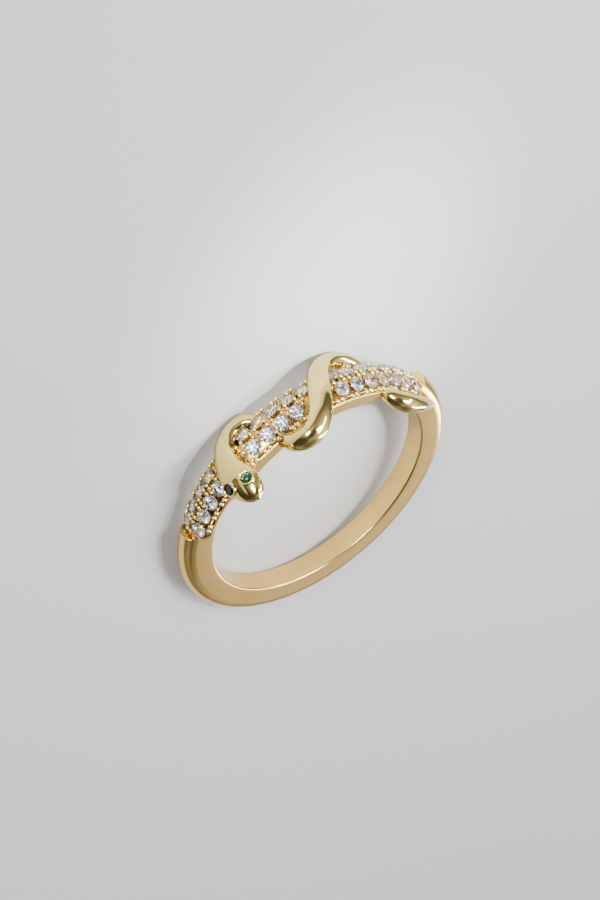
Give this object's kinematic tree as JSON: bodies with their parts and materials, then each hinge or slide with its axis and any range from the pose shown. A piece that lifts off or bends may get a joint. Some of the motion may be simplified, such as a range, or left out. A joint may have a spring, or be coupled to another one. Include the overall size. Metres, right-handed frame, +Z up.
{
  "type": "snake wrap ring",
  "caption": "Half-round finger ring whose stone-set crown has a cast snake wound over and under it, with round-cut eyes in bezels.",
  "frame": {"origin": "middle of the ring's footprint, on the surface it rests on", "axes": "+Z up: the ring lies on its back side with its front side up, the middle of its crown towards -Y and the snake's head towards +X"},
  "size_m": [0.0216, 0.0218, 0.0058],
  "materials": {
    "gold": "polished pale yellow gold",
    "clear_stone": "cut and polished clear stone",
    "green_stone": "cut and polished green stone",
    "dark_green_stone": "cut and polished dark green stone"
  },
  "bodies": {
    "root": {"ring": "gold", "eye_right": "green_stone", "eye_left": "dark_green_stone", "stone_front_1": "clear_stone", "stone_front_2": "clear_stone", "stone_front_3": "clear_stone", "stone_front_4": "clear_stone", "stone_front_5": "clear_stone", "stone_front_6": "clear_stone", "stone_front_7": "clear_stone", "stone_front_10": "clear_stone", "stone_front_11": "clear_stone", "stone_front_12": "clear_stone", "stone_front_13": "clear_stone", "stone_front_16": "clear_stone", "stone_front_17": "clear_stone", "stone_front_18": "clear_stone", "stone_front_19": "clear_stone", "stone_back_1": "clear_stone", "stone_back_2": "clear_stone", "stone_back_3": "clear_stone", "stone_back_4": "clear_stone", "stone_back_5": "clear_stone", "stone_back_6": "clear_stone", "stone_back_7": "clear_stone", "stone_back_9": "clear_stone", "stone_back_10": "clear_stone", "stone_back_11": "clear_stone", "stone_back_12": "clear_stone", "stone_back_13": "clear_stone", "stone_back_16": "clear_stone", "stone_back_17": "clear_stone", "stone_back_18": "clear_stone", "stone_back_19": "clear_stone"}
  },
  "joints": []
}
